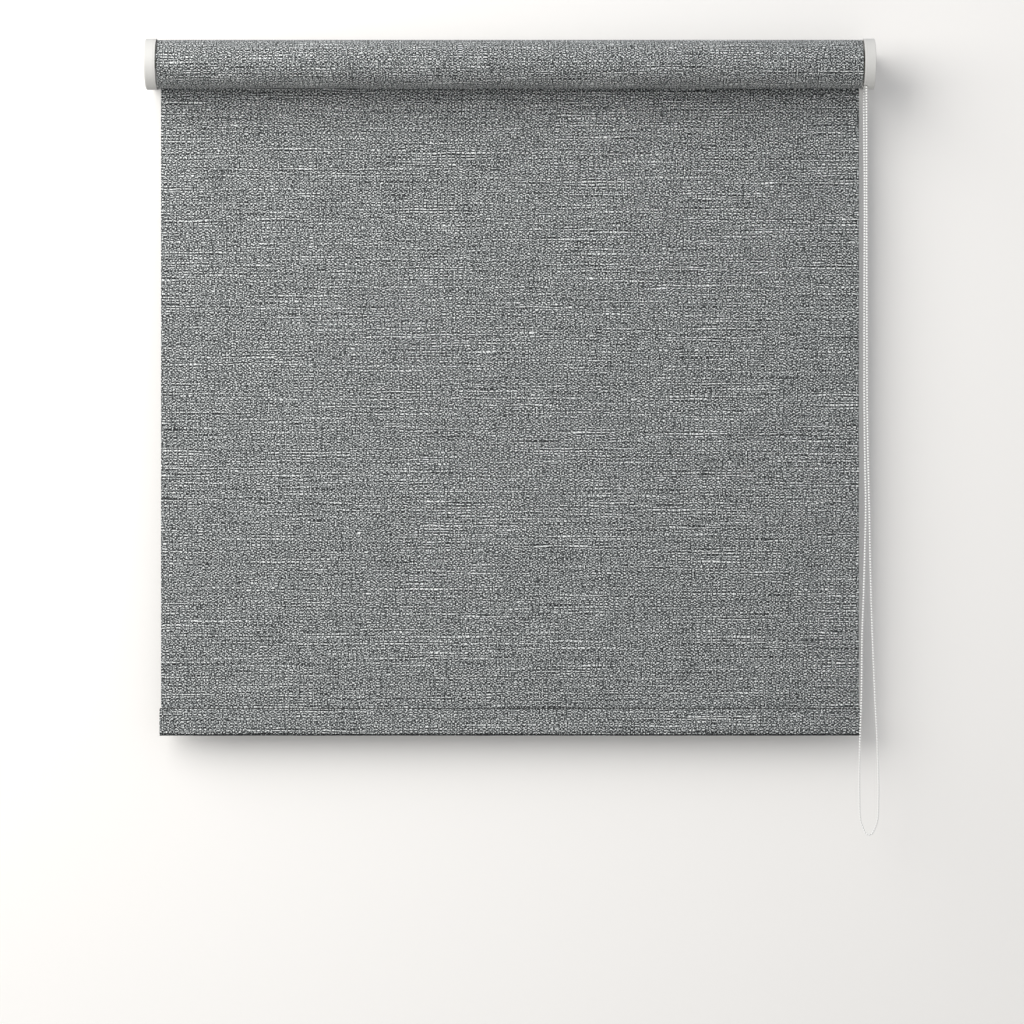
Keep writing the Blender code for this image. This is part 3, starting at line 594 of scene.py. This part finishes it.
finish("hem_bar", aluminium)
finish("hem_cap_left", pvc)
finish("hem_cap_right", pvc)


# The tube and its spline: an aluminium extrusion with a keyway, and the grey strip that holds
# the end of the cloth in it.

finish("roller_tube", aluminium)
finish("cloth_spline", pvc)


# The brackets: pressed steel with a white powder coat, baked to a faint orange peel.

powder_coat = grained("steel_powder_coated_white", ("#E9E8E5", "#E2E1DD"), (0.32, 0.42),
                      (1.2,) * 3, 0.03)
finish("left_bracket", powder_coat)
finish("right_bracket", powder_coat)


# The end covers: white ABS cups, moulded with a fine spark-eroded face, that snap over the
# brackets. Each has a thin bright rim next to the roll and a softer edge underneath, and the
# right one has two slots below for the chain.

COVER_LOW, COVER_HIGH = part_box("right_cover")
COVER_R = COVER_HIGH.z
RIM_X, END_X = COVER_LOW.x, COVER_HIGH.x
COVER_WALL = 0.0016
WALL_HALF = 0.020               # half the cover's height where it meets the wall
EDGE_ROUND = 0.0062
BAND, GROOVE = 0.0024, 0.0003   # the rim band, and the fine groove behind it
GROOVE_DEEP = 0.00018
SLOT_HALF, SLOT_END_X = 0.0018, 0.4059
SLOT_TOP = -0.012
PEG_Y, PEG_Z, PEG_R = -0.018, 0.007, 0.0017
PEG_END_X = 0.4078

abs_white = grained("abs_moulded_white_satin", ("#D8D7D4", "#D0CFCB"), (0.36, 0.46), (0.45,) * 3,
                    0.012, cloud_mm=45)


def end_cover(name, side):
    """One cover: made as the right one is, then mirrored if it is the left one, side -1."""
    lean = math.atan2(WALL_HALF, -AXIS_Y)
    tangent = lean + math.acos(COVER_R / math.hypot(AXIS_Y, WALL_HALF))
    bm = bmesh.new()
    rounding = bm.edges.layers.float.new("bevel_weight_edge")
    on_wall = bm.verts.new((END_X, 0, WALL_HALF))
    nose = bm.verts.new((END_X, AXIS_Y + COVER_R * math.cos(tangent),
                         COVER_R * math.sin(tangent)))
    bm.edges.new((on_wall, nose))
    arc = bmesh.ops.spin(bm, geom=[nose], cent=AXIS, axis=(1, 0, 0), steps=48,
                         angle=2 * (math.pi - tangent))["geom_last"]
    last = next(g for g in arc if isinstance(g, bmesh.types.BMVert))
    foot = bm.verts.new((END_X, 0, -WALL_HALF))
    bm.edges.new((last, foot))
    skirt = list(bm.edges)
    wall_edge = bm.edges.new((foot, on_wall))
    end = bmesh.ops.edgeloop_fill(bm, edges=skirt + [wall_edge])["faces"][0]
    for edge in skirt:
        height = sum(v.co.z for v in edge.verts) / 2
        edge[rounding] = 0.75 - 0.25 * height / COVER_R     # rounder underneath
    here, reach = END_X, COVER_R
    for x, wanted in ((RIM_X + BAND + GROOVE, COVER_R),
                      (RIM_X + BAND + GROOVE / 2, COVER_R - GROOVE_DEEP),
                      (RIM_X + BAND, COVER_R), (RIM_X, COVER_R)):
        rim, skirt = extruded(bm, skirt)
        for edge in skirt:
            edge[rounding] = 0
        bmesh.ops.translate(bm, verts=rim, vec=(x - here, 0, 0))
        bmesh.ops.scale(bm, verts=rim, vec=(1, wanted / reach, wanted / reach),
                        space=Matrix.Translation(-AXIS))
        here, reach = x, wanted
    bmesh.ops.recalc_face_normals(bm, faces=bm.faces)
    if end.normal.x < 0:
        bmesh.ops.reverse_faces(bm, faces=bm.faces)
    if side > 0:
        for strand in (AXIS_Y - WHEEL_R, AXIS_Y + WHEEL_R):
            for plane, normal in (((0, strand - SLOT_HALF, 0), (0, 1, 0)),
                                  ((0, strand + SLOT_HALF, 0), (0, 1, 0)),
                                  ((SLOT_END_X, 0, 0), (1, 0, 0))):
                below = [f for f in bm.faces if f.calc_center_median().z < SLOT_TOP
                         and f != end]
                parts = dict.fromkeys(g for f in below for g in (f, *f.verts, *f.edges))
                bmesh.ops.bisect_plane(bm, geom=list(parts), plane_co=plane, plane_no=normal,
                                       dist=1e-6)
            slot = [f for f in bm.faces if f.calc_center_median().z < SLOT_TOP
                    and abs(f.calc_center_median().y - strand) < SLOT_HALF
                    and f.calc_center_median().x < SLOT_END_X]
            bmesh.ops.delete(bm, geom=slot, context="FACES")
    else:
        bmesh.ops.scale(bm, vec=(-1, 1, 1), verts=bm.verts)
        bmesh.ops.reverse_faces(bm, faces=bm.faces)
    cover = piece(name + "_shell", bm, abs_white, "mounting", 30)
    outer = cover.modifiers.new("Outer edge", "BEVEL")
    outer.limit_method = "WEIGHT"
    outer.width = EDGE_ROUND
    outer.segments = 8
    shell = cover.modifiers.new("Wall", "SOLIDIFY")
    shell.thickness = COVER_WALL
    shell.offset = -1
    shell.use_even_offset = True
    rim = cover.modifiers.new("Rim", "BEVEL")
    rim.limit_method = "ANGLE"
    rim.angle_limit = math.radians(60)
    rim.width = 0.0003
    rim.segments = 3
    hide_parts(name)

    # Two tapered pegs inside, which snap into the bracket.
    bm = bmesh.new()
    peg_root = END_X - COVER_WALL / 2
    for up in (-PEG_Z, PEG_Z):
        centre = Matrix.Translation((side * (PEG_END_X + peg_root) / 2, PEG_Y, up))
        bmesh.ops.create_cone(bm, cap_ends=True, segments=24, radius1=PEG_R * 1.05,
                              radius2=PEG_R * 0.9, depth=peg_root - PEG_END_X,
                              matrix=centre @ Matrix.Rotation(-side * math.pi / 2, 4, "Y"))
    piece(name + "_pegs", bm, abs_white, "mounting", 30)


end_cover("left_cover", -1)
end_cover("right_cover", 1)


# The clutch: natural nylon mouldings round a fixed core, two wrap springs that grip the core
# unless the chain turns them, and zinc-plated fixings.

nylon = grained("nylon_moulded_natural", ("#E4E1D8", "#DAD6CB"), (0.38, 0.50), (0.8,) * 3, 0.02,
                cloud_mm=12, Subsurface_Weight=0.1, Subsurface_Scale=0.002)
spring_wire = grained("spring_steel_wire_drawn", ("#8C8F93", "#7B7E82"), (0.25, 0.38),
                      (0.3, 0.3, 0.3), 0.005, Metallic=1.0)
zinc = grained("steel_zinc_plated_bright", ("#B9BDC2", "#A6ABB2"), (0.22, 0.36), (0.9,) * 3, 0.006,
               cloud_mm=6, Metallic=1.0)
for node in ("clutch_core", "chain_guard", "chain_wheel", "drive_crown"):
    finish(node, nylon)
for node in ("clutch_spring_outer", "clutch_spring_inner"):
    finish(node, spring_wire)
for node in ("clutch_screw_upper", "clutch_screw_lower", "retaining_washer", "retaining_screw"):
    finish(node, zinc)


# The idle end: a nylon plug in the tube, and a sprung pin that turns in the left bracket's hole.

for node in ("idle_plug", "idle_pin"):
    finish(node, nylon)


# The pin's spring: six turns of steel wire round its stem, built as one fixed coil. The inner end
# stays in the plug.

SPRING_LOW, SPRING_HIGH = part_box("idle_spring")
WIRE_R = 0.0004
COIL_R = (SPRING_HIGH.z - SPRING_LOW.z) / 2 - WIRE_R
COIL_TURNS, PER_TURN = 6, 24
COIL_STEPS = COIL_TURNS * PER_TURN
coil_length = SPRING_HIGH.x - SPRING_LOW.x - 2 * WIRE_R

coil = bmesh.new()
wire_round = bmesh.ops.create_circle(
    coil, segments=8, radius=WIRE_R,
    matrix=Matrix.Translation((SPRING_LOW.x + WIRE_R, AXIS_Y + COIL_R, 0)))["verts"]
bmesh.ops.spin(coil, geom=[*wire_round, *coil.edges], cent=(0, AXIS_Y, 0), axis=(1, 0, 0),
               dvec=(coil_length / COIL_STEPS, 0, 0), angle=2 * math.pi * COIL_TURNS,
               steps=COIL_STEPS)
bmesh.ops.holes_fill(coil, edges=coil.edges, sides=8)
bmesh.ops.recalc_face_normals(coil, faces=coil.faces)
pin_spring = piece("idle_pin_spring", coil, spring_wire, None, 60)
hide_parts("idle_spring")
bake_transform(pin_spring)
